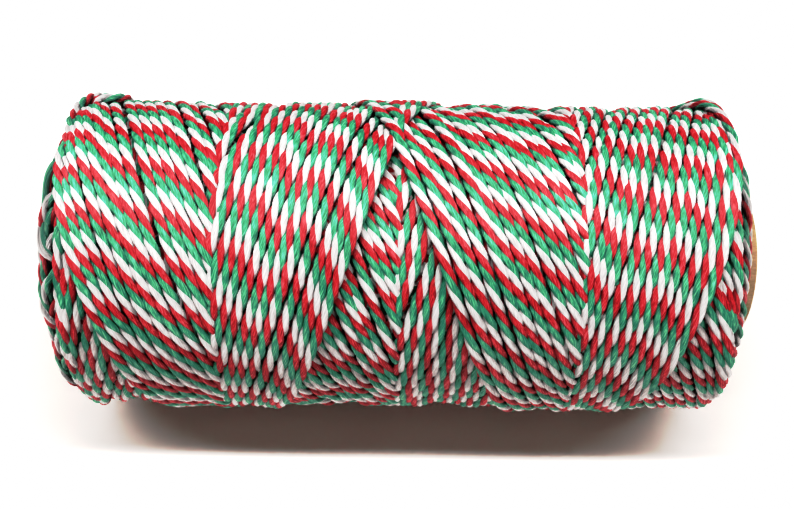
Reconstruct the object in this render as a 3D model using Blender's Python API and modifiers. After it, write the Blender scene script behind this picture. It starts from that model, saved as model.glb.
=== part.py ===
"""Roll of bakers twine: three-colour cotton twine cross-wound on a cardboard tube, lying on its side.

The roll's axis runs along X, and the roll rests on Z = 0 on the small flat that its own weight
presses into the winding. The origin is in the middle of that flat. Lengths are in metres.
"""

import math

import bmesh
import bpy
import numpy as np
from mathutils import Matrix

OBJECT_NAME = "roll_of_bakers_twine"

# Cardboard tube
CORE_LENGTH = 0.1086
CORE_RADIUS = 0.0122
CORE_WALL = 0.0020
CORE_RIM_ROUNDING = 0.0003

# Twine winding
WINDING_LENGTH = 0.1020  # over the domed ends
WINDING_RADIUS = 0.02525
WINDING_CLEARANCE = 0.0003  # between the tube and the innermost turns
SHOULDER_INSET = 0.0042  # how far from each end the round side starts to curve over
CROWN_RADIUS = 0.0180  # where the domed end stands out furthest
DISH_DEPTH = 0.0007  # how far the dome falls back from its crown to the tube
SHOULDER_FULLNESS = 2.4  # exponent of the shoulder's superellipse; 2 is a plain ellipse
FLAT_DEPTH = 0.0004  # how far the resting flat is pressed in

# Main twists of the cross winding: two crossing helices, each with one raised leading edge
TWIST_PITCH = 0.0522  # along the axis, for one turn
TWIST_FRONT = 0.0069  # where the rising and the falling edge start, left and right of the middle
TWIST_RELIEF = 0.0012
TWIST_STEP = 0.08  # width of the leading edge, as a share of the pitch
FACING_ANGLE = math.radians(50)  # direction round the axis, up from -Y, that the helices start at

# Fineness of the faceted surfaces
TURN_STEPS = 48
SIDE_ROWS = 36
SHOULDER_ROWS = 6
DISH_ROWS = 2

AXIS_HEIGHT = WINDING_RADIUS - FLAT_DEPTH
MERGE_DISTANCE = 0.00001


def clear_scene():
    for old in list(bpy.data.objects):
        bpy.data.objects.remove(old, do_unlink=True)


def new_collection(name):
    collection = bpy.data.collections.new(name)
    bpy.context.scene.collection.children.link(collection)
    return collection


def plain_material(name, colour, roughness):
    material = bpy.data.materials.new(name)
    material.use_nodes = True
    shader = material.node_tree.nodes["Principled BSDF"]
    shader.inputs["Base Color"].default_value = (*colour, 1.0)
    shader.inputs["Roughness"].default_value = roughness
    shader.inputs["Metallic"].default_value = 0.0
    return material


def turned(name, profile, collection):
    """Object turned about X from a closed outline of (radius, place along the axis) points.

    The outline runs down the outer side first, from the largest place to the smallest.
    """
    outline = bmesh.new()
    points = [outline.verts.new((radius, 0.0, along)) for radius, along in profile]
    for first, second in zip(points, points[1:] + points[:1]):
        outline.edges.new((first, second))
    mesh = bpy.data.meshes.new(name)
    outline.to_mesh(mesh)
    outline.free()

    turned_object = bpy.data.objects.new(name, mesh)
    collection.objects.link(turned_object)
    turned_object.rotation_euler = (0.0, math.radians(90), 0.0)
    turned_object.location = (0.0, 0.0, AXIS_HEIGHT)

    screw = turned_object.modifiers.new("turn", "SCREW")
    screw.axis = "Z"
    screw.angle = math.tau
    screw.steps = TURN_STEPS
    screw.render_steps = TURN_STEPS
    screw.use_merge_vertices = True
    screw.merge_threshold = MERGE_DISTANCE
    return turned_object


def made_real(modified):
    """Replaces an object's mesh by its evaluated one, in world coordinates."""
    bpy.context.view_layer.update()
    depsgraph = bpy.context.evaluated_depsgraph_get()
    mesh = bpy.data.meshes.new_from_object(modified.evaluated_get(depsgraph), depsgraph=depsgraph)
    mesh.transform(modified.matrix_world)
    modified.modifiers.clear()
    modified.data = mesh
    modified.location = (0.0, 0.0, 0.0)
    modified.rotation_euler = (0.0, 0.0, 0.0)
    bpy.context.view_layer.update()


def shade_round(shaded, sharp_above_degrees):
    shaded.data.shade_smooth()
    shaded.data.set_sharp_from_angle(angle=math.radians(sharp_above_degrees))


def tube_profile():
    """Rectangular wall with softened rims."""
    half = CORE_LENGTH / 2
    inner = CORE_RADIUS - CORE_WALL
    rim = CORE_RIM_ROUNDING
    top_half = [
        (inner, half - rim),
        (inner + rim, half),
        (CORE_RADIUS - rim, half),
        (CORE_RADIUS, half - rim),
    ]
    right_to_left = [(radius, -along) for radius, along in reversed(top_half)]
    return top_half[-1:] + right_to_left + top_half[:-1]


def dome(rows):
    """Points of one domed end, from the outer surface in to the bore."""
    half = WINDING_LENGTH / 2
    shoulder_height = WINDING_RADIUS - CROWN_RADIUS
    power = 2 / SHOULDER_FULLNESS
    points = []
    for row in range(rows + 1):
        turn = math.radians(90) * row / rows
        radius = CROWN_RADIUS + shoulder_height * math.cos(turn) ** power
        along = half - SHOULDER_INSET + SHOULDER_INSET * math.sin(turn) ** power
        points.append((radius, along))
    bore = CORE_RADIUS + WINDING_CLEARANCE
    for row in range(1, DISH_ROWS + 1):
        share = row / DISH_ROWS
        radius = CROWN_RADIUS + (bore - CROWN_RADIUS) * share
        points.append((radius, half - DISH_DEPTH * share**2))
    return points


def winding_profile():
    """Outline of the winding: round side, far dome, bore and near dome."""
    end = dome(SHOULDER_ROWS)
    side_half = WINDING_LENGTH / 2 - SHOULDER_INSET
    side = [
        (WINDING_RADIUS, side_half * (1 - 2 * row / SIDE_ROWS)) for row in range(1, SIDE_ROWS)
    ]
    far_end = [(radius, -along) for radius, along in end]
    near_end = list(reversed(end))
    return side + far_end + near_end


def smoothstep(share):
    share = np.clip(share, 0.0, 1.0)
    return share * share * (3 - 2 * share)


def newness(phase):
    """Height of a helix's laid turns, 1 at the newest one and falling to 0 just ahead of it."""
    age = np.mod(phase / TWIST_PITCH, 1.0)
    climb = (1 - TWIST_STEP) * smoothstep(age / TWIST_STEP)
    return np.where(age < TWIST_STEP, climb, 1 - age)


def press_twists(winding):
    """Lowers the round side between the helices' leading edges, except round the resting flat."""
    mesh = winding.data
    places = np.empty(len(mesh.vertices) * 3)
    mesh.vertices.foreach_get("co", places)
    places = places.reshape(-1, 3)
    along, across, up = places[:, 0], places[:, 1], places[:, 2] - AXIS_HEIGHT
    radius = np.hypot(across, up)
    angle = np.arctan2(up, -across) - FACING_ANGLE
    lead = TWIST_PITCH * angle / math.tau

    rising = newness(-TWIST_FRONT - (along - lead))
    falling = newness((along + lead) - TWIST_FRONT)
    depth = TWIST_RELIEF * (1 - (rising + falling) / 2)

    outside = smoothstep((radius - CROWN_RADIUS) / (WINDING_RADIUS - CROWN_RADIUS))
    from_below = np.degrees(np.arccos(np.clip(-up / radius, -1.0, 1.0)))
    away_from_flat = smoothstep((from_below - 15) / 25)
    pressed = 1 - depth * outside * away_from_flat / radius
    places[:, 1] = across * pressed
    places[:, 2] = up * pressed + AXIS_HEIGHT
    mesh.vertices.foreach_set("co", places.ravel())
    mesh.update()


def flat_cutter(collection):
    """Block whose top face is the surface that the roll rests on."""
    size = 4 * WINDING_RADIUS
    bpy.ops.mesh.primitive_cube_add(size=1.0, location=(0.0, 0.0, -size / 2))
    cutter = bpy.context.object
    cutter.name = "flat_cutter"
    cutter.data.transform(Matrix.Diagonal((2 * WINDING_LENGTH, size, size, 1.0)))
    for home in list(cutter.users_collection):
        home.objects.unlink(cutter)
    collection.objects.link(cutter)
    cutter.hide_render = True
    cutter.display_type = "WIRE"
    return cutter


def make_core(collection):
    core = turned("core", tube_profile(), collection)
    made_real(core)
    core.data.materials.append(plain_material("cardboard", (0.55, 0.36, 0.19), 0.85))
    shade_round(core, 35)
    return core


def make_winding(collection, cutters):
    winding = turned("winding", winding_profile(), collection)
    made_real(winding)
    press_twists(winding)
    winding.data.materials.append(plain_material("twine", (0.62, 0.36, 0.33), 0.9))
    shade_round(winding, 40)
    press_flat = winding.modifiers.new("rest_flat", "BOOLEAN")
    press_flat.operation = "DIFFERENCE"
    press_flat.solver = "EXACT"
    press_flat.object = flat_cutter(cutters)
    return winding


def main():
    clear_scene()
    parts = new_collection(OBJECT_NAME)
    cutters = new_collection("cutters")
    make_core(parts)
    make_winding(parts, cutters)
    bpy.context.view_layer.update()


main()
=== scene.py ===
"""Looks of a roll of bakers twine: three-ply striped twine wound crosswise on a paper tube.

The roll's axis runs along X. Places on the winding are given by an angle round the axis, up from
-Y, and by a reach, the distance from the roll's middle measured along its outline: along the
round side, over the shoulder and in across the end face. Lengths are in metres and angles in
radians, unless a comment says otherwise.
"""

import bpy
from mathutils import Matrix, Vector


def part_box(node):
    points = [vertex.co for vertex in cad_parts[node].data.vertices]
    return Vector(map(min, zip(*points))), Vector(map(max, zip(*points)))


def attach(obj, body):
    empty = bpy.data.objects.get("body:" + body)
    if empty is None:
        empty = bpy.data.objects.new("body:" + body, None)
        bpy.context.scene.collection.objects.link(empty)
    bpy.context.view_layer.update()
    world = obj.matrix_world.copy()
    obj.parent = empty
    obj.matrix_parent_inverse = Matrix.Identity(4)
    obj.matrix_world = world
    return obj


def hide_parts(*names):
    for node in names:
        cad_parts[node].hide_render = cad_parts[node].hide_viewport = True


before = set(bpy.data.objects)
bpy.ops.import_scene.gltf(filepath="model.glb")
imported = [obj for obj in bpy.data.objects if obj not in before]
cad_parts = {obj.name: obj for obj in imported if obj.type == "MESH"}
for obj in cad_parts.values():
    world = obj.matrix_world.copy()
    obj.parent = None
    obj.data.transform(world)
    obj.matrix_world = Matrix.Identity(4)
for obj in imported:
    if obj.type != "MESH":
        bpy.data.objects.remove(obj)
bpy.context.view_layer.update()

import math

import bpy
import numpy as np
from mathutils import Quaternion, Vector

TAU = math.tau
MILLIMETRES = 1000  # in a metre
rng = np.random.default_rng(41)  # seeded, so every run winds the same roll


# ---------------------------------------------------------------- sizes of the roll

# The tube and the wound form, from the frame
core_low, core_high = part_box("core")
AXIS_HEIGHT = (core_low.z + core_high.z) / 2
CORE_RADIUS = (core_high.z - core_low.z) / 2
CORE_HALF = core_high.x  # of its length
CORE_WALL = 0.0020
WINDING_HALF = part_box("winding")[1].x
FLAT_DEPTH = 0.0004  # how far the roll's weight presses its underside flat
CREST_RADIUS = AXIS_HEIGHT + FLAT_DEPTH

# Outline of the wound form
SHOULDER_INSET = 0.0042  # from where the shoulder begins to the end of the winding
SHOULDER_FULLNESS = 2.4  # 2 is a quarter of an ellipse, and more is squarer
CROWN_RADIUS = 0.0180  # where the shoulder meets the end face
DISH_DEPTH = 0.0007  # how far the end face sinks towards the tube
SIDE_POINTS, SHOULDER_POINTS, DISH_POINTS = 60, 80, 30
OUTLINE_SAMPLES = 700
NORMAL_AVERAGE = 9  # samples that the outline's direction is averaged over
NORMAL_PASSES = 3

# The twine
STRAND_RADIUS = 0.00092
STRAND_FLATTENING = 0.90
LAYS_PER_DOUBLE_STROKE = 84.26  # turns of the three plies
PLIES = ("red", "white", "green")
SECTION = (1.0, 0.91, 0.68, 0.91)  # one ply's outline: crest, side, groove, side
GROOVE = 2  # its place in that outline
SIDES = len(PLIES) * len(SECTION)
CORNERS = np.arange(SIDES)
PLY_OF_FACE = (CORNERS + GROOVE) % SIDES // len(SECTION)
CAP_PLY = PLIES.index("white")  # on the hidden ends of the stretches
PLY_SWELL = 0.035  # share by which a ply thickens and thins along the twine
PLY_SWELL_LENGTH = 0.0031  # of twine, for each radian of that
PLY_SWELL_RATE, PLY_SWELL_START = 0.23, 2.1  # by which each ply differs from the last one
END_TAPER = (0.45, 0.75, 0.92)  # thickness of a stretch's first rings, and of its last ones
RING_SHAPE = 0.13  # a ring's length over its girth, about
HIDDEN_LENGTH = 0.0022  # twine made past each end of a stretch that shows
SHORTEST_SHOWN = 0.0006  # a strand that shows for less than this is left out
FEWEST_RINGS = 7  # of a stretch

# Slow unevenness of the twist: wave length, strength in radians of the plies' turn, and start
LAY_WAVES = ((0.171, 0.9, 2.2), (0.13, 0.8, 3.0), (0.0437, 0.3, 1.0))
# The twist sways from stroke to stroke as well
SWAY_LAYS = 1.3  # how far, in turns of the plies
SWAY_PERIOD = 30  # double strokes
SWAY_NODE = 38  # the double stroke that has none of it

# The winding's last layers
TURN_REACH = 0.0522  # where the straight strokes would meet; the rounded turns stop short of it
TURN_ROUNDING = 0.0023
TURN_ROUNDING_SPREAD = (-0.35, 0.5)  # shares by which the turns differ
LAST_TURN_ROUNDING = 0.0030
TURNS_PER_STROKE = 2
STRAND_SPACING = 0.00175  # along the axis
FACING = math.radians(50)  # angle of the winding that faces the camera
LAST_CROSSING = FACING + math.radians(50)  # where the last rising stroke passes the middle
DOUBLE_STROKES = 42
STROKE_UNEVENNESS = 0.10  # of the spacing, from stroke to stroke
UNEVENNESS_FADE = 0.8  # the turn at each end of a stroke over which that fades out
REACH_UNEVENNESS = ((90, 0.00005), (400, 0.00006))  # samples from knot to knot, and strength
SAMPLE = 0.00025  # along the twine
PIECES_ROUND = 5  # the wound strands are shared between this many pieces, from old to new

# How the strands lie on each other. Offsets run across a strand and are shares of its radius,
# or of the contact radius where it finds support.
MAP_ANGLES = 720  # cells of the height map, round the form
MAP_MARGIN = 0.002  # of the map past the strokes' turns
CONTACT_RADIUS = 0.00075  # of a strand pressed against the ones below it
CONTACT_OFFSETS = np.linspace(-0.8, 0.8, 7)  # where a strand finds support
COVER_OFFSETS = np.linspace(-0.97, 0.97, 11)  # where it covers what lies below
SEEN_OFFSETS = np.linspace(-0.85, 0.85, 7)  # where it may show
SEEN_MARGIN = 0.00004  # how far under the map's surface a strand still counts as showing
SUPPORT_BLUR, HEIGHT_BLUR = 2, 3  # samples along a strand
SINK = 0.00034  # how far a strand beds into what it crosses
SINK_ON_PILE = 0.00080  # more of that, where the strands below pile up
PILE_HEIGHT = 0.0005  # over its layer, at which a strand sinks by most of that
LAYER_THICKNESS = 0.00120
BRIDGE_RADIUS = 0.010  # how stiffly a taut strand bridges a step in the layer below
LEVELLING = 0.90  # share of the pile's slow rise and fall that is taken out
LEVELLING_WIDTH = 0.0080  # how slow a rise and fall counts as the pile's
LEAST_LAID = 0.02  # share of laid ground that the levelling reckons with at least
CREST_PERCENTILE = 97  # of the levelled heights: the one that meets the wound form

# What lies below the strands, and the tube's details
BODY_DEPTH = 0.0026  # under the wound form
BODY_POINTS = 60
BODY_SEGMENTS, TUBE_SEGMENTS = 96, 128  # round the axis
CORE_CLEARANCE = 0.0003  # between the winding and the tube
RIM_ROUNDING = 0.0003
RIM_STEPS = 4
SHARP_ANGLE = math.radians(40)

# The turning loops of older layers, which fill the end faces
LOOPS_PER_END = 120
LOOP_STEP = math.radians(12)
LOOP_REACH_IN = 0.0640  # of the oldest loop's turning point
LOOP_REACH_OUT = 0.0527  # and of the newest one's
LOOP_REACH_SPREAD = 0.00016
LOOP_ANGLE_SPREAD = 0.02
LOOP_SLOPE = 0.0072  # how far each loop climbs outward for each radian of turn
LOOP_WAVE_SPREAD = 0.00012  # of the strength of a wave in each loop
LOOP_WAVE_RATE = 5  # radians of that wave for each one of turn
LOOP_HALF_LENGTH = 0.0068
LOOP_HALF_TURN_MOST = 0.9
LOOP_ROUNDING_SPREAD = (0.8, 1.4)  # of the turns' rounding
LOOP_DEPTH = 0.9  # of a strand's radius under the form
LOOP_DEPTH_SPREAD = 0.00012
LOOP_TWINE = 5  # metres of twine that the loops are taken from
# The left end bulges towards the front: how far, at what angle and reach, and how widely
BULGE = 0.0002
BULGE_ANGLE = math.radians(46)
BULGE_REACH = 0.0575
BULGE_HALF_ANGLE = math.radians(28)
BULGE_HALF_REACH = 0.0060
# Slack loops on the left end: middle and half span in degrees, reach at the ends and in the
# middle, lift over the wound form, place along the twine, and share of the twist that is left
SLACK_LOOPS = ((66, 20, 0.0503, 0.0533, -0.00120, 0.0031, 0.2),
               (46, 26, 0.0505, 0.0540, -0.00120, 0.0, 1.0),
               (14, 28, 0.0503, 0.0538, -0.00165, 0.0, 1.0),
               (136, 16, 0.0497, 0.0440, -0.00160, 0.0, 1.0))
SLACK_FULLNESS = 0.7  # less than 1 rises more steeply from the loop's ends
SLACK_DIVE = 3  # more keeps the dive under the strands nearer to the ends
SLACK_FINENESS = 2  # rings for each one of a wound strand

# Each stroke falls a little short of its whole turns, so that strands lie beside each other
STROKE_TURN = TURNS_PER_STROKE * TAU / (1 + STRAND_SPACING / (4 * TURN_REACH))
SLOPE = 2 * TURN_REACH / STROKE_TURN  # reach gained for each radian of turn
STRAND_TILT = math.atan(SLOPE / CREST_RADIUS)
STROKE_SAMPLES = int(STROKE_TURN * CREST_RADIUS / math.cos(STRAND_TILT) / SAMPLE)
DOUBLE_STROKE_LENGTH = 2 * STROKE_SAMPLES * SAMPLE
LAY_LENGTH = DOUBLE_STROKE_LENGTH / LAYS_PER_DOUBLE_STROKE  # one turn of the three plies
RING_SPACING = LAY_LENGTH / SIDES


# ---------------------------------------------------------------- colours, light and camera

# Dark, middle and light tones, and where on a colour ramp they stand
TWINE_TONES = {
    "red": ((0.375, 0.0125, 0.0275), (0.562, 0.0425, 0.0675), (0.725, 0.2, 0.25)),
    "white": ((0.575, 0.556, 0.569), (0.719, 0.706, 0.712), (0.85, 0.838, 0.844)),
    "green": ((0.0312, 0.25, 0.156), (0.1, 0.438, 0.312), (0.312, 0.65, 0.512)),
}
TWINE_STOPS = (0.38, 0.50, 0.62)
BOARD_TONES = ((0.45, 0.356, 0.244), (0.537, 0.438, 0.312), (0.625, 0.525, 0.388))
BOARD_STOPS = (0.32, 0.50, 0.66)
FLOOR_TONES = ((0.938, 0.931, 0.925), (0.975, 0.969, 0.963))
FLOOR_STOPS = (0.3, 0.7)
# The plies in the gaps between the strands, darker than the twine's own tones: painted shade
BELOW_SHADE_RED = (0.25, 0.015, 0.025)
BELOW_SHADE_WHITE = (0.525, 0.5, 0.5)
BELOW_SHADE_GREEN = (0.015, 0.125, 0.0688)
BELOW_SHADE_TONES = (BELOW_SHADE_RED, BELOW_SHADE_RED, BELOW_SHADE_WHITE, BELOW_SHADE_WHITE, BELOW_SHADE_GREEN)
BELOW_STOPS = (0.36, 0.44, 0.47, 0.54, 0.57)

# Soft fuzzy cotton shades less than a hard surface: how far its shading follows the roll's form
SOFTNESS = 0.75

FLOOR_HALF = 2.0
# Painted light: the floor glows more with the distance from the roll; its weak warm glow near the
# roll lifts and warms the cast shadow
FLOOR_GLOW_COLOUR = (1.0, 0.8, 0.74, 1.0)
FLOOR_GLOW_DISTANCES = (0.12, 0.6)
FLOOR_GLOW_STRENGTHS = (0.075, 1.0)
WORLD_GLOW_COLOUR = (1.0, 0.88, 0.83, 1.0)
WORLD_GLOW_STRENGTH = 0.08
BACKDROP_COLOUR = (1.0, 1.0, 1.0, 1.0)

# The picture's contrast: linear light, and what shows of it
TONES = ((0.03, 0.002), (0.07, 0.006), (0.10, 0.013), (0.15, 0.030), (0.2, 0.055), (0.25, 0.088),
         (0.4, 0.195), (0.5, 0.355), (0.6, 0.60), (0.7, 0.745), (0.85, 0.90), (0.95, 1.0))
ALL_CHANNELS = 3  # number of the curve that red, green and blue share

CAMERA_TARGET = Vector((-0.00016, 0, AXIS_HEIGHT + 0.0001))
CAMERA_DISTANCE = 0.163
CAMERA_ROLL = math.radians(0.75)  # the roll lies a little askew in the picture
CAMERA_LENS, CAMERA_SENSOR = 45.34, 36.0  # millimetres
CAMERA_CLIP_START = 0.005


# ---------------------------------------------------------------- the wound form


def averaged(values):
    """Values along the outline, each one averaged with its neighbours."""
    padded = np.pad(values, NORMAL_AVERAGE // 2, mode="edge")
    return np.convolve(padded, np.ones(NORMAL_AVERAGE) / NORMAL_AVERAGE, "valid")


def outline_of_form():
    """The form's outline from its middle to the tube: reach, axial place, radius, and normal."""
    side_half = WINDING_HALF - SHOULDER_INSET
    side = np.linspace(0, side_half, SIDE_POINTS, endpoint=False)
    turn = np.linspace(0, math.pi / 2, SHOULDER_POINTS)
    power = 2 / SHOULDER_FULLNESS
    shoulder_x = side_half + SHOULDER_INSET * np.sin(turn) ** power
    shoulder_r = CROWN_RADIUS + (CREST_RADIUS - CROWN_RADIUS) * np.cos(turn) ** power
    dish = np.linspace(0, 1, DISH_POINTS)[1:]
    dish_x = WINDING_HALF - DISH_DEPTH * dish**2
    dish_r = CROWN_RADIUS + (CORE_RADIUS - CROWN_RADIUS) * dish
    along = np.concatenate([side, shoulder_x, dish_x])
    radius = np.concatenate([np.full(len(side), CREST_RADIUS), shoulder_r, dish_r])
    reach = np.concatenate([[0], np.cumsum(np.hypot(np.diff(along), np.diff(radius)))])
    even = np.linspace(0, reach[-1], OUTLINE_SAMPLES)
    along, radius = np.interp(even, reach, along), np.interp(even, reach, radius)
    tangent_x, tangent_r = np.gradient(along, even), np.gradient(radius, even)
    for _ in range(NORMAL_PASSES):
        tangent_x, tangent_r = averaged(tangent_x), averaged(tangent_r)
    length = np.hypot(tangent_x, tangent_r)
    return even, along, radius, -tangent_r / length, tangent_x / length


FORM_REACH, FORM_X, FORM_R, FORM_NX, FORM_NR = outline_of_form()


def on_form(angle, reach, height):
    """Points at these heights over the form, and the form's outward normals there."""
    side = np.sign(reach)
    far = np.abs(reach)
    normal_x = np.interp(far, FORM_REACH, FORM_NX) * side
    normal_r = np.interp(far, FORM_REACH, FORM_NR)
    along = np.interp(far, FORM_REACH, FORM_X) * side + height * normal_x
    radius = np.interp(far, FORM_REACH, FORM_R) + height * normal_r
    out_y, out_z = -np.cos(angle), np.sin(angle)
    points = np.stack([along, radius * out_y, AXIS_HEIGHT + radius * out_z], axis=1)
    normals = np.stack([normal_x, normal_r * out_y, normal_r * out_z], axis=1)
    return points, normals


# ---------------------------------------------------------------- laying the strands


def direction(stroke):
    """1 for the strokes that gain reach, and -1 for the ones that go back."""
    return 1 - 2 * (stroke % 2)


def smooth_noise(count, knots_apart, strength):
    """Smooth random values along a line, with a knot every so many samples."""
    knots = int(count / knots_apart) + 4  # some to spare
    values = rng.normal(0, strength, knots)
    at = np.linspace(0, knots - 1.001, count)  # ends just short of the last knot
    low = at.astype(int)
    share = at - low
    share = share * share * (3 - 2 * share)  # level at each knot
    return values[low] * (1 - share) + values[low + 1] * share


def wound_path():
    """The twine's route in its last double strokes, from oldest to newest, sampled evenly.

    Returns the angle, the reach and the number of the stroke for each sample.
    """
    drift = STRAND_SPACING / SLOPE
    strokes = 2 * DOUBLE_STROKES
    # The last rising stroke is the last but one, and the strokes follow on from each other
    middles = LAST_CROSSING - STROKE_TURN * np.arange(strokes - 2, -2, -1)
    angles, reaches, numbers = [], [], []
    uneven = rng.normal(0, STROKE_UNEVENNESS * drift, strokes)
    rounding = TURN_ROUNDING * (1 + rng.uniform(*TURN_ROUNDING_SPREAD, strokes + 1))
    rounding[strokes - 1] = LAST_TURN_ROUNDING
    for number in range(strokes):
        turn = np.linspace(-0.5, 0.5, STROKE_SAMPLES, endpoint=False) * STROKE_TURN
        from_end = STROKE_TURN / 2 - np.abs(turn)
        bend = np.where(turn < 0, rounding[number], rounding[number + 1])
        reach = TURN_REACH - np.sqrt(bend**2 + (SLOPE * from_end) ** 2)
        reach = reach * np.sign(turn) * direction(number)
        wander = uneven[number] * np.clip(from_end / UNEVENNESS_FADE, 0, 1)
        angles.append(middles[number] + turn + wander)
        reaches.append(reach)
        numbers.append(np.full(STROKE_SAMPLES, number))
    angle, reach = np.concatenate(angles), np.concatenate(reaches)
    for knots_apart, strength in REACH_UNEVENNESS:
        reach = reach + smooth_noise(len(reach), knots_apart, strength)
    return angle, reach, np.concatenate(numbers)


class HeightMap:
    """Height of the laid strands over the form, on a grid of angle and reach."""

    def __init__(self, limit):
        self.cell = TAU * CREST_RADIUS / MAP_ANGLES
        self.reaches = int(2 * limit / self.cell) + 1
        self.limit = limit
        self.height = np.zeros((MAP_ANGLES, self.reaches))

    def cells(self, angle, reach):
        """Row and column of the cells at these places."""
        row = np.round(angle / TAU * MAP_ANGLES).astype(int) % MAP_ANGLES
        column = np.round((reach + self.limit) / self.cell).astype(int)
        return row, np.clip(column, 0, self.reaches - 1)

    def look(self, angle, reach):
        """Heights at these places."""
        return self.height[self.cells(angle, reach)]

    def lay(self, angle, reach, height):
        """Raises the map to these heights wherever it is lower."""
        np.maximum.at(self.height, self.cells(angle, reach), height)


def beside(angle, reach, offset, rising):
    """The place that lies an offset to the side of a strand that rises or falls."""
    tilt = STRAND_TILT * rising
    return angle - offset * np.sin(tilt) / CREST_RADIUS, reach + offset * np.cos(tilt)


def bridged(support, step):
    """Height of a taut strand over its supports: it bridges hollows with no bend too tight."""
    along = np.arange(len(support)) * step
    # Less a parabola of the tightest bend, the strand is the hull that spans its supports
    sag = along**2 / (2 * BRIDGE_RADIUS)
    level = support - sag
    hull = []
    for i in range(len(level)):
        while len(hull) > 1:
            a, b = hull[-2], hull[-1]
            if (level[b] - level[a]) * (i - a) <= (level[i] - level[a]) * (b - a):
                hull.pop()
            else:
                break
        hull.append(i)
    return np.interp(along, along[hull], level[hull]) + sag


def smoothed(values, width):
    """Values along the twine, blurred by a bell curve that is so many samples wide."""
    kernel = np.exp(-0.5 * (np.arange(-3 * width, 3 * width + 1) / width) ** 2)
    padded = np.pad(values, 3 * width, mode="edge")
    return np.convolve(padded, kernel / kernel.sum(), "valid")


def lay_strands(angle, reach, number):
    """Lays the strokes one on another. Returns each sample's centre height and the height map."""
    ground = HeightMap(TURN_REACH + MAP_MARGIN)
    centre = np.zeros(len(angle))
    strokes_per_layer = 2 * TURN_REACH / (TURNS_PER_STROKE * STRAND_SPACING)  # cover all once
    for stroke in range(number[-1] + 1):
        here = np.flatnonzero(number == stroke)
        support = np.full(len(here), -1.0)
        for offset in CONTACT_OFFSETS * CONTACT_RADIUS:
            below = ground.look(*beside(angle[here], reach[here], offset, direction(stroke)))
            support = np.maximum(support, below + math.sqrt(CONTACT_RADIUS**2 - offset**2))
        height = smoothed(bridged(smoothed(support, SUPPORT_BLUR), SAMPLE), HEIGHT_BLUR)
        level = LAYER_THICKNESS * (stroke / strokes_per_layer + 1)
        pile = np.maximum(height - level, 0)
        height = height - SINK - SINK_ON_PILE * (1 - np.exp(-pile / PILE_HEIGHT))
        centre[here] = height
        for offset in COVER_OFFSETS * STRAND_RADIUS:
            place = beside(angle[here], reach[here], offset, direction(stroke))
            ground.lay(*place, height + np.sqrt(STRAND_RADIUS**2 - offset**2))
    return centre, ground


def seen(angle, reach, number, centre, ground):
    """Which samples have any part of their upper side uncovered."""
    shows = np.zeros(len(angle), bool)
    for offset in SEEN_OFFSETS * STRAND_RADIUS:
        top = centre + math.sqrt(STRAND_RADIUS**2 - offset**2)
        place = beside(angle, reach, offset, direction(number))
        shows |= top > ground.look(*place) - SEEN_MARGIN
    return shows


def blurred(values, width):
    """A two-way blur by a bell curve that is so many cells wide; angles join up, ends don't."""
    pad = 3 * width
    spread = np.pad(values, ((0, 0), (pad, pad)))
    rows = np.fft.fftfreq(spread.shape[0])[:, None]
    columns = np.fft.fftfreq(spread.shape[1])[None, :]
    bell = np.exp(-2 * (math.pi * width) ** 2 * (rows**2 + columns**2))
    return np.fft.ifft2(np.fft.fft2(spread) * bell).real[:, pad:-pad]


def levelled(angle, reach, centre, ground):
    """Centre heights with the slow rise and fall of the pile taken out, under the wound form."""
    width = int(LEVELLING_WIDTH / ground.cell)
    laid = (ground.height > 0).astype(float)
    broad = blurred(ground.height * laid, width) / np.maximum(blurred(laid, width), LEAST_LAID)
    local = ground.height - LEVELLING * broad
    crest = np.percentile(local[laid > 0], CREST_PERCENTILE)
    # The pile's height at each sample, between the middles of four cells
    rows = angle / TAU * MAP_ANGLES
    columns = np.clip((reach + ground.limit) / ground.cell, 0, ground.reaches - 1.001)
    row, column = np.floor(rows).astype(int), np.floor(columns).astype(int)
    down, across = rows - row, columns - column
    level = 0
    for step_down, share_down in ((0, 1 - down), (1, down)):
        for step_across, share_across in ((0, 1 - across), (1, across)):
            corner = broad[(row + step_down) % MAP_ANGLES, column + step_across]
            level = level + corner * share_down * share_across
    return smoothed(centre - LEVELLING * level - crest, HEIGHT_BLUR)


# ---------------------------------------------------------------- stretches of twine


def strand(angle, reach, height, arc):
    """A stretch of twine: its centre line's points and outward directions, arc and thickness."""
    points, normals = on_form(angle, reach, height)
    thickness = np.ones(len(arc))
    thickness[: len(END_TAPER)] = END_TAPER
    thickness[-len(END_TAPER) :] = END_TAPER[::-1]
    points -= normals * ((1 - thickness) * STRAND_RADIUS)[:, None]
    return {"points": points, "normals": normals, "arc": arc, "thickness": thickness}


def runs_of(shows):
    """First and last sample of each stretch that shows, with some hidden twine at each end."""
    extra = int(HIDDEN_LENGTH / SAMPLE)
    wide = np.convolve(shows, np.ones(2 * extra + 1), "same") > 0
    edges = np.flatnonzero(np.diff(np.concatenate([[0], wide.astype(int), [0]])))
    for first, last in zip(edges[::2], edges[1::2] - 1):
        if shows[first : last + 1].sum() * SAMPLE > SHORTEST_SHOWN:
            yield first, last


def shown_stretches():
    """The stretches of the wound twine that show, from old to new."""
    angle, reach, number = wound_path()
    centre, ground = lay_strands(angle, reach, number)
    shows = seen(angle, reach, number, centre, ground)
    height = levelled(angle, reach, centre, ground)
    arc = np.arange(len(angle)) * SAMPLE
    for first, last in runs_of(shows):
        at = np.arange(first, last, RING_SPACING / SAMPLE)
        if len(at) >= FEWEST_RINGS:
            run = np.arange(first, last + 1)
            yield strand(*(np.interp(at, run, values[run])
                           for values in (angle, reach, height, arc)))


def bulge(angle, reach):
    """How far the left end's layers stand out past the form there."""
    aside = np.angle(np.exp(1j * (angle - BULGE_ANGLE))) / BULGE_HALF_ANGLE
    away = (reach - BULGE_REACH) / BULGE_HALF_REACH
    return BULGE * np.exp(-(aside**2) - away**2)


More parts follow.
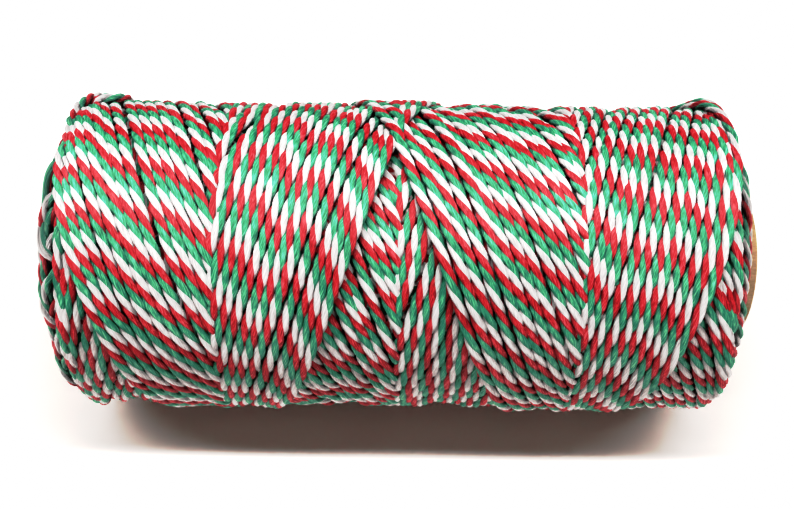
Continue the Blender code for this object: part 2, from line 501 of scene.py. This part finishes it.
def slack_loops():
    """Loops that have come loose on the left end."""
    for middle, half_span, edge, innermost, lift, start, twist in SLACK_LOOPS:
        length = 2 * math.radians(half_span) * CROWN_RADIUS
        turn = np.linspace(-1, 1, int(SLACK_FINENESS * length / RING_SPACING))
        bow = 1 - turn**2
        angle = math.radians(middle) + math.radians(half_span) * turn
        reach = edge + (innermost - edge) * bow
        dive = 2 * STRAND_RADIUS * (1 - bow) ** SLACK_DIVE
        height = (lift + STRAND_RADIUS) * bow**SLACK_FULLNESS - dive
        points, _ = on_form(angle, -reach, height)
        steps = np.linalg.norm(np.diff(points, axis=0), axis=1)
        arc = start + twist * np.concatenate([[0], np.cumsum(steps)])
        yield strand(angle, -reach, height, arc)


def end_loops(side):
    """The turning loops of older layers, one over another across an end face."""
    for loop, layers_out in enumerate(np.linspace(0, 1, LOOPS_PER_END)):
        apex = LOOP_REACH_IN + (LOOP_REACH_OUT - LOOP_REACH_IN) * layers_out
        apex += rng.normal(0, LOOP_REACH_SPREAD)
        # The two ends' loops start from different angles
        middle = -LOOP_STEP * loop + rng.normal(0, LOOP_ANGLE_SPREAD) + side
        radius = np.interp(apex, FORM_REACH, FORM_R)
        half = min(LOOP_HALF_LENGTH / radius, LOOP_HALF_TURN_MOST)
        turn = np.linspace(-half, half, int(2 * half * radius / RING_SPACING))
        wave = rng.normal(0, LOOP_WAVE_SPREAD) * np.cos(turn * LOOP_WAVE_RATE)
        reach = apex - LOOP_SLOPE * turn + wave
        bend = TURN_ROUNDING * rng.uniform(*LOOP_ROUNDING_SPREAD)
        drop = np.hypot(bend, SLOPE * turn) - bend
        height = -STRAND_RADIUS * LOOP_DEPTH - drop + rng.normal(0, LOOP_DEPTH_SPREAD)
        if side < 0:
            height = height + bulge(middle + turn, reach)
        arc = rng.uniform(0, LOOP_TWINE) + turn * radius
        yield strand(middle + turn, side * reach, height, arc)


# ---------------------------------------------------------------- strand meshes


def lay_twist(arc):
    """The plies' turn round the strand at each arc length, a little uneven along the twine."""
    strokes = arc / DOUBLE_STROKE_LENGTH
    sway = np.sin(TAU * (strokes - SWAY_NODE) / SWAY_PERIOD) * np.sin(TAU * strokes)
    turn = -TAU * (arc / LAY_LENGTH + SWAY_LAYS * sway)
    for length, strength, start in LAY_WAVES:
        turn = turn + strength * np.sin(TAU * arc / length + start)
    return turn


def section_of(stretch):
    """Points round a stretch at each step, and their turn, a column for each corner."""
    points, out, arc = stretch["points"], stretch["normals"], stretch["arc"]
    along = np.gradient(points, axis=0)
    along /= np.linalg.norm(along, axis=1)[:, None]
    out = out - along * (out * along).sum(1)[:, None]
    out /= np.linalg.norm(out, axis=1)[:, None]
    aside = np.cross(along, out)
    turn = CORNERS[None, :] * TAU / SIDES + lay_twist(arc)[:, None]
    profile = np.array(SECTION)[CORNERS % len(SECTION)]
    radius = STRAND_RADIUS * profile[None, :] * stretch["thickness"][:, None]
    fullness = 0
    for ply in range(len(PLIES)):
        rate, start = 1 + PLY_SWELL_RATE * ply, PLY_SWELL_START * ply
        swell = PLY_SWELL * np.sin(arc / PLY_SWELL_LENGTH * rate + start)
        nearness = np.maximum(np.cos((CORNERS / SIDES - ply / len(PLIES)) * TAU), 0)
        fullness = fullness + swell[:, None] * nearness[None, :]
    radius = radius * (1 + fullness)
    height = (np.cos(turn) * radius * STRAND_FLATTENING)[:, :, None] * out[:, None, :]
    width = (np.sin(turn) * radius)[:, :, None] * aside[:, None, :]
    return points[:, None, :] + height + width, turn


def bake_places(first, count, rows, per_row):
    """Map places of the faces in so many steps: each face has a cell of its own."""
    step = first + np.arange(count)[:, None]
    row = step // per_row
    low = (row + (CORNERS + 0.5) / (SIDES + 1)) / rows
    high = (row + (CORNERS + 1.5) / (SIDES + 1)) / rows
    left = step % per_row / per_row + 0 * low
    right = left + 1 / per_row
    return np.stack([left, low, left, high, right, high, right, low], axis=2).reshape(-1, 2)


def strand_places(arc, turn):
    """Map places of a stretch's faces in millimetres: along the twine, and round it."""
    along = arc[:, None] * MILLIMETRES + 0 * turn
    around = turn * STRAND_RADIUS * MILLIMETRES
    side = TAU / SIDES * STRAND_RADIUS * MILLIMETRES
    near, far = along[:-1], along[1:]
    return np.stack([near, around[:-1], near, around[:-1] + side,
                     far, around[1:] + side, far, around[1:]], axis=2).reshape(-1, 2)


def add_object(name, data):
    """A new object in the scene that shows this data."""
    made = bpy.data.objects.new(name, data)
    bpy.context.scene.collection.objects.link(made)
    return made


def strands_object(name, stretches):
    """One mesh object of many stretches of twine, each a closed tube of three coloured plies."""
    rings = sum(len(stretch["arc"]) for stretch in stretches)
    rows = round(math.sqrt(rings * RING_SHAPE))  # of the bake map
    per_row = math.ceil(rings / rows)
    vertices, faces, caps, bake_uv, strand_uv = [], [], [], [], []
    first = steps_done = 0
    for stretch in stretches:
        steps = len(stretch["arc"]) - 1
        tube, turn = section_of(stretch)
        vertices.append(tube.reshape(-1, 3))
        ring = first + np.arange(steps)[:, None] * SIDES
        here, next_to_it = ring + CORNERS, ring + (CORNERS + 1) % SIDES
        quads = np.stack([here, next_to_it, next_to_it + SIDES, here + SIDES], axis=2)
        faces.append(quads.reshape(-1, 4))
        last = first + steps * SIDES
        caps += [first + CORNERS[::-1], last + CORNERS]
        bake_uv.append(bake_places(steps_done, steps, rows, per_row))
        strand_uv.append(strand_places(stretch["arc"], turn))
        first = last + SIDES
        steps_done += steps
    vertices, faces, caps = np.concatenate(vertices), np.concatenate(faces), np.array(caps)
    vertices[:, 2] = np.maximum(vertices[:, 2], 0)  # nothing goes below the floor

    mesh = bpy.data.meshes.new(name)
    mesh.vertices.add(len(vertices))
    mesh.vertices.foreach_set("co", vertices.ravel())
    mesh.loops.add(faces.size + caps.size)
    mesh.loops.foreach_set("vertex_index", np.concatenate([faces.ravel(), caps.ravel()]))
    starts = np.concatenate([np.arange(len(faces)) * 4,
                             faces.size + np.arange(len(caps)) * SIDES])
    mesh.polygons.add(len(starts))
    mesh.polygons.foreach_set("loop_start", starts)
    ply = np.concatenate([np.tile(PLY_OF_FACE, len(faces) // SIDES), np.full(len(caps), CAP_PLY)])
    mesh.polygons.foreach_set("material_index", ply)
    mesh.polygons.foreach_set("use_smooth", np.ones(len(starts), bool))
    mesh.update(calc_edges=True)
    cap_uv = np.zeros((caps.size, 2))
    for layer, values in (("OFBake", bake_uv), ("Strand", strand_uv)):
        uv = mesh.uv_layers.new(name=layer)
        uv.data.foreach_set("uv", np.concatenate(values + [cap_uv]).ravel())
    edges = np.zeros(len(mesh.edges) * 2, int)
    mesh.edges.foreach_get("vertices", edges)
    in_groove = edges.reshape(-1, 2) % SIDES % len(SECTION) == GROOVE
    mesh.edges.foreach_set("use_edge_sharp", in_groove.all(axis=1))
    outward = np.concatenate([stretch["normals"] for stretch in stretches])
    attribute = mesh.attributes.new("Outward", "FLOAT_VECTOR", "POINT")
    attribute.data.foreach_set("vector", np.repeat(outward, SIDES, axis=0).ravel())
    mesh.validate()
    for ply_name in PLIES:
        mesh.materials.append(twine_materials[ply_name])
    return add_object(name, mesh)


def shared_out(stretches):
    """The stretches in groups of about as many rings each, from old to new."""
    share = sum(len(stretch["arc"]) for stretch in stretches) / PIECES_ROUND
    groups, group, filled = [], [], 0
    for stretch in stretches:
        group.append(stretch)
        filled += len(stretch["arc"])
        if filled >= share * (len(groups) + 1) - 1:  # the ring to spare lets the last group close
            groups.append(group)
            group = []
    return groups


# ---------------------------------------------------------------- materials


def new_material(name):
    """A material with its node tree and the tree's Principled shader."""
    material = bpy.data.materials.new(name)
    material.use_nodes = True
    tree = material.node_tree
    return material, tree, tree.nodes["Principled BSDF"]


def add_node(tree, kind, settings=None, **inputs):
    """A node with these settings, and inputs given as plain values or as another node's output."""
    made = tree.nodes.new("ShaderNode" + kind)
    for name, value in (settings or {}).items():
        setattr(made, name, value)
    for name, value in inputs.items():
        socket = made.inputs[name.replace("_", " ")]
        if isinstance(value, bpy.types.NodeSocket):
            tree.links.new(value, socket)
        else:
            socket.default_value = value
    return made


def colour_ramp(tree, factor, places, colours):
    """A colour that follows a factor through these colours, each at its place."""
    ramp = add_node(tree, "ValToRGB", Fac=factor)
    elements = ramp.color_ramp.elements
    while len(elements) < len(places):
        elements.new(0.5)
    for element, place, colour in zip(elements, places, colours):
        element.position = place
        element.color = (*colour, 1)
    return ramp.outputs["Color"]


def noise(tree, vector, scale, detail=3.0, roughness=0.5):
    """A noise texture's value at these places."""
    made = add_node(tree, "TexNoise", Vector=vector, Scale=scale, Detail=detail,
                    Roughness=roughness)
    return made.outputs["Fac"]


def stretched(tree, vector, scale):
    """Places multiplied along each axis."""
    return add_node(tree, "Mapping", Vector=vector, Scale=scale).outputs["Vector"]


def between(tree, factor, low, high):
    """A value that goes from low to high as the factor goes from 0 to 1."""
    return add_node(tree, "MapRange", Value=factor, To_Min=low, To_Max=high).outputs["Result"]


def mixed(tree, first, second, share):
    """The first value, with this share of the second one mixed in."""
    both = add_node(tree, "Mix", {"data_type": "FLOAT"}, Factor=share, A=first, B=second)
    return both.outputs[0]


def soft_normal(tree):
    """The surface's normal, mixed with the wound form's."""
    outward = add_node(tree, "Attribute", {"attribute_name": "Outward"}).outputs["Vector"]
    to_world = {"vector_type": "NORMAL", "convert_from": "OBJECT", "convert_to": "WORLD"}
    outward = add_node(tree, "VectorTransform", to_world, Vector=outward).outputs["Vector"]
    surface = add_node(tree, "NewGeometry").outputs["Normal"]
    both = add_node(tree, "Mix", {"data_type": "VECTOR"}, Factor=SOFTNESS)
    # A mix node's vector sockets come after its number ones, under the same names
    tree.links.new(surface, both.inputs[4])
    tree.links.new(outward, both.inputs[5])
    return add_node(tree, "VectorMath", {"operation": "NORMALIZE"},
                    Vector=both.outputs[1]).outputs["Vector"]


def finish_surface(tree, shader, colour, roughness, relief):
    """Links a surface's colour, its roughness and its bump to the shader."""
    tree.links.new(colour, shader.inputs["Base Color"])
    tree.links.new(roughness, shader.inputs["Roughness"])
    tree.links.new(relief.outputs["Normal"], shader.inputs["Normal"])


def twine_material(name, tones):
    """Soft spun cotton: fine fibres along the strand, in streaks of three tones."""
    material, tree, shader = new_material("twine_" + name)
    place = add_node(tree, "UVMap", {"uv_map": "Strand"}).outputs["UV"]
    solid = add_node(tree, "TexCoord").outputs["Object"]
    # So many to a millimetre of the strand, along and round it
    fibres = noise(tree, stretched(tree, place, (0.6, 5.5, 1.0)), scale=1.0, roughness=0.6)
    blotches = noise(tree, stretched(tree, place, (0.35, 1.2, 1.0)), scale=1.0, detail=2.0)
    slow = noise(tree, solid, scale=90.0, detail=2.0)
    tone = mixed(tree, mixed(tree, fibres, blotches, share=0.22), slow, share=0.15)
    relief = add_node(tree, "Bump", Strength=0.6, Distance=0.00012, Height=fibres,
                      Normal=soft_normal(tree))
    finish_surface(tree, shader, colour_ramp(tree, tone, TWINE_STOPS, tones),
                   between(tree, fibres, low=0.58, high=0.74), relief)
    shader.inputs["Specular IOR Level"].default_value = 1.0
    shader.inputs["IOR"].default_value = 1.6
    shader.inputs["Sheen Weight"].default_value = 0.1
    shader.inputs["Sheen Roughness"].default_value = 0.45
    return material


def body_shade_material():
    """The layers below the ones modelled, seen only through their gaps, in dark tones of painted
    shade.
    """
    material, tree, shader = new_material("twine_below_painted_shade")
    solid = add_node(tree, "TexCoord").outputs["Object"]
    strands = add_node(tree, "TexWave", {"wave_type": "BANDS", "bands_direction": "DIAGONAL"},
                       Vector=solid, Scale=260.0, Distortion=3.0, Detail=2.0)
    patches = noise(tree, solid, scale=420.0, detail=1.0)
    relief = add_node(tree, "Bump", Strength=1.0, Distance=0.0004, Height=strands.outputs["Fac"])
    # The darkened ply colours are painted shade for the depth of the gaps
    finish_surface(tree, shader, colour_ramp(tree, patches, BELOW_STOPS, BELOW_SHADE_TONES),
                   between(tree, patches, low=0.8, high=0.95), relief)
    return material


def board_material():
    """Kraft paper board: short grey-brown fibres in soft clouds of tone."""
    material, tree, shader = new_material("kraft_board")
    solid = add_node(tree, "TexCoord").outputs["Object"]
    fibres = noise(tree, stretched(tree, solid, (900.0, 2600.0, 2600.0)), scale=1.0, detail=4.0,
                   roughness=0.6)
    clouds = noise(tree, solid, scale=110.0)
    tone = mixed(tree, fibres, clouds, share=0.4)
    relief = add_node(tree, "Bump", Strength=0.35, Distance=0.0001, Height=fibres)
    finish_surface(tree, shader, colour_ramp(tree, tone, BOARD_STOPS, BOARD_TONES),
                   between(tree, clouds, low=0.75, high=0.9), relief)
    shader.inputs["Specular IOR Level"].default_value = 0.3
    return material


# ---------------------------------------------------------------- the roll's pieces


def turned(name, outline, segments, material):
    """A closed ring, turned round the roll's axis from an outline of (along, radius) points."""
    along, radius = np.array(outline).T[:, None, :]
    turn = (np.arange(segments) / segments * TAU)[:, None]
    points = np.stack([along + 0 * turn, -np.cos(turn) * radius,
                       AXIS_HEIGHT + np.sin(turn) * radius], axis=2)
    count = len(outline)
    i, j = np.meshgrid(np.arange(segments), np.arange(count), indexing="ij")
    next_i, next_j = (i + 1) % segments, (j + 1) % count
    faces = np.stack([i * count + j, i * count + next_j,
                      next_i * count + next_j, next_i * count + j], axis=2).reshape(-1, 4)
    mesh = bpy.data.meshes.new(name)
    mesh.from_pydata(points.reshape(-1, 3).tolist(), [], faces.tolist())
    mesh.materials.append(material)
    mesh.shade_smooth()
    mesh.set_sharp_from_angle(angle=SHARP_ANGLE)
    return add_object(name, mesh)


def body_outline():
    """The wound form's outline, let in far enough to lie under the modelled strands."""
    far = np.linspace(0, FORM_REACH[-1], BODY_POINTS)[:-1]
    along = np.interp(far, FORM_REACH, FORM_X) - BODY_DEPTH * np.interp(far, FORM_REACH, FORM_NX)
    radius = np.interp(far, FORM_REACH, FORM_R) - BODY_DEPTH * np.interp(far, FORM_REACH, FORM_NR)
    keep = radius > CORE_RADIUS + CORE_CLEARANCE
    half = list(zip(along[keep], radius[keep]))
    half.append((half[-1][0], CORE_RADIUS + CORE_CLEARANCE))
    mirrored = [(-x, r) for x, r in reversed(half[1:])]
    return mirrored + half


def tube_outline():
    """The tube wall's outline, with its cut ends rounded over."""
    inner, outer = CORE_RADIUS - CORE_WALL, CORE_RADIUS
    points = []
    corners = ((1, outer, 1, 0), (1, inner, -1, 90), (-1, inner, -1, 180), (-1, outer, 1, 270))
    for side, radius, outward, start in corners:
        centre_x = side * (CORE_HALF - RIM_ROUNDING)
        centre_r = radius - outward * RIM_ROUNDING
        for step in range(RIM_STEPS + 1):
            turn = math.radians(90 - start - 90 / RIM_STEPS * step)
            points.append((centre_x + RIM_ROUNDING * math.cos(turn),
                           centre_r + RIM_ROUNDING * math.sin(turn)))
    return points


twine_materials = {name: twine_material(name, tones) for name, tones in TWINE_TONES.items()}
groups = shared_out(list(shown_stretches()))
twine_pieces = [strands_object(f"strands_{place}", group)
                for place, group in enumerate(groups, start=1)]
twine_pieces.append(strands_object("end_loops_right", list(end_loops(1))))
twine_pieces.append(strands_object("end_loops_left", list(end_loops(-1)) + list(slack_loops())))
body = turned("winding_below", body_outline(), BODY_SEGMENTS, body_shade_material())
tube = turned("paper_tube", tube_outline(), TUBE_SEGMENTS, board_material())

for piece in twine_pieces + [body]:
    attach(piece, "root")
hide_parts("winding")
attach(tube, "root")
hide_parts("core")


# ---------------------------------------------------------------- floor, light and camera


def stage_floor():
    """A plain pale surface that glows as painted light, more with the distance from the roll."""
    material, tree, shader = new_material("pale_floor")
    solid = add_node(tree, "TexCoord").outputs["Object"]
    tone = colour_ramp(tree, noise(tree, solid, scale=3.0), FLOOR_STOPS, FLOOR_TONES)
    tree.links.new(tone, shader.inputs["Base Color"])
    shader.inputs["Roughness"].default_value = 0.7
    away = add_node(tree, "VectorMath", {"operation": "LENGTH"}, Vector=solid).outputs["Value"]
    (near, far), (least, most) = FLOOR_GLOW_DISTANCES, FLOOR_GLOW_STRENGTHS
    glow = add_node(tree, "MapRange", Value=away, From_Min=near, From_Max=far, To_Min=least,
                    To_Max=most)
    # Painted light: a weak warm glow near the roll lifts and warms its cast shadow, and a full one
    # further out shows white
    shader.inputs["Emission Color"].default_value = FLOOR_GLOW_COLOUR
    tree.links.new(glow.outputs["Result"], shader.inputs["Emission Strength"])
    mesh = bpy.data.meshes.new("floor")
    half = FLOOR_HALF
    mesh.from_pydata([(-half, -half, 0), (half, -half, 0), (half, half, 0), (-half, half, 0)],
                     [], [(0, 1, 2, 3)])
    mesh.materials.append(material)
    return add_object("floor", mesh)


def overhead_light(name, place, power, length, width, colour):
    """A softbox over the roll, long in the direction of the roll's axis."""
    light = bpy.data.lights.new(name, "AREA")
    light.shape = "RECTANGLE"
    light.size = length
    light.size_y = width
    light.energy = power
    light.color = colour
    lamp = add_object(name, light)
    lamp.location = place
    lamp.rotation_euler = (-Vector(place)).to_track_quat("-Z", "Y").to_euler()


def studio_world():
    """Weak warm light from all around, and a pale backdrop that only the camera sees."""
    world = bpy.data.worlds.new("studio")
    world.use_nodes = True
    tree = world.node_tree
    glow = tree.nodes["Background"]
    glow.inputs["Color"].default_value = WORLD_GLOW_COLOUR
    glow.inputs["Strength"].default_value = WORLD_GLOW_STRENGTH
    backdrop = add_node(tree, "Background", Color=BACKDROP_COLOUR)
    seen_by_camera = add_node(tree, "LightPath").outputs["Is Camera Ray"]
    both = add_node(tree, "MixShader", Fac=seen_by_camera)  # its shader inputs share a name
    tree.links.new(glow.outputs[0], both.inputs[1])
    tree.links.new(backdrop.outputs[0], both.inputs[2])
    tree.links.new(both.outputs[0], tree.nodes["World Output"].inputs["Surface"])
    bpy.context.scene.world = world


def contrast_curve():
    """The picture's contrast, set in the scene's colour management."""
    look = bpy.context.scene.view_settings
    look.view_transform = "Standard"
    look.use_curve_mapping = True
    look.curve_mapping.extend = "HORIZONTAL"
    for level, shown in TONES:
        look.curve_mapping.curves[ALL_CHANNELS].points.new(level, shown)
    look.curve_mapping.update()


def studio_camera():
    """A camera that looks down at the roll's side."""
    lens = bpy.data.cameras.new("camera")
    lens.sensor_width = CAMERA_SENSOR
    lens.lens = CAMERA_LENS
    lens.clip_start = CAMERA_CLIP_START
    camera = add_object("camera", lens)
    away = Vector((0, -math.cos(FACING), math.sin(FACING)))
    camera.location = CAMERA_TARGET + CAMERA_DISTANCE * away
    aim = (CAMERA_TARGET - camera.location).to_track_quat("-Z", "Y")
    camera.rotation_euler = (aim @ Quaternion((0, 0, 1), CAMERA_ROLL)).to_euler()
    bpy.context.scene.camera = camera


stage_floor()
overhead_light("softbox", place=(0.0, -0.075, 1.0), power=25.0, length=3.0, width=0.09,
               colour=(1.0, 0.995, 0.98))
studio_world()
contrast_curve()
studio_camera()

bpy.context.view_layer.update()
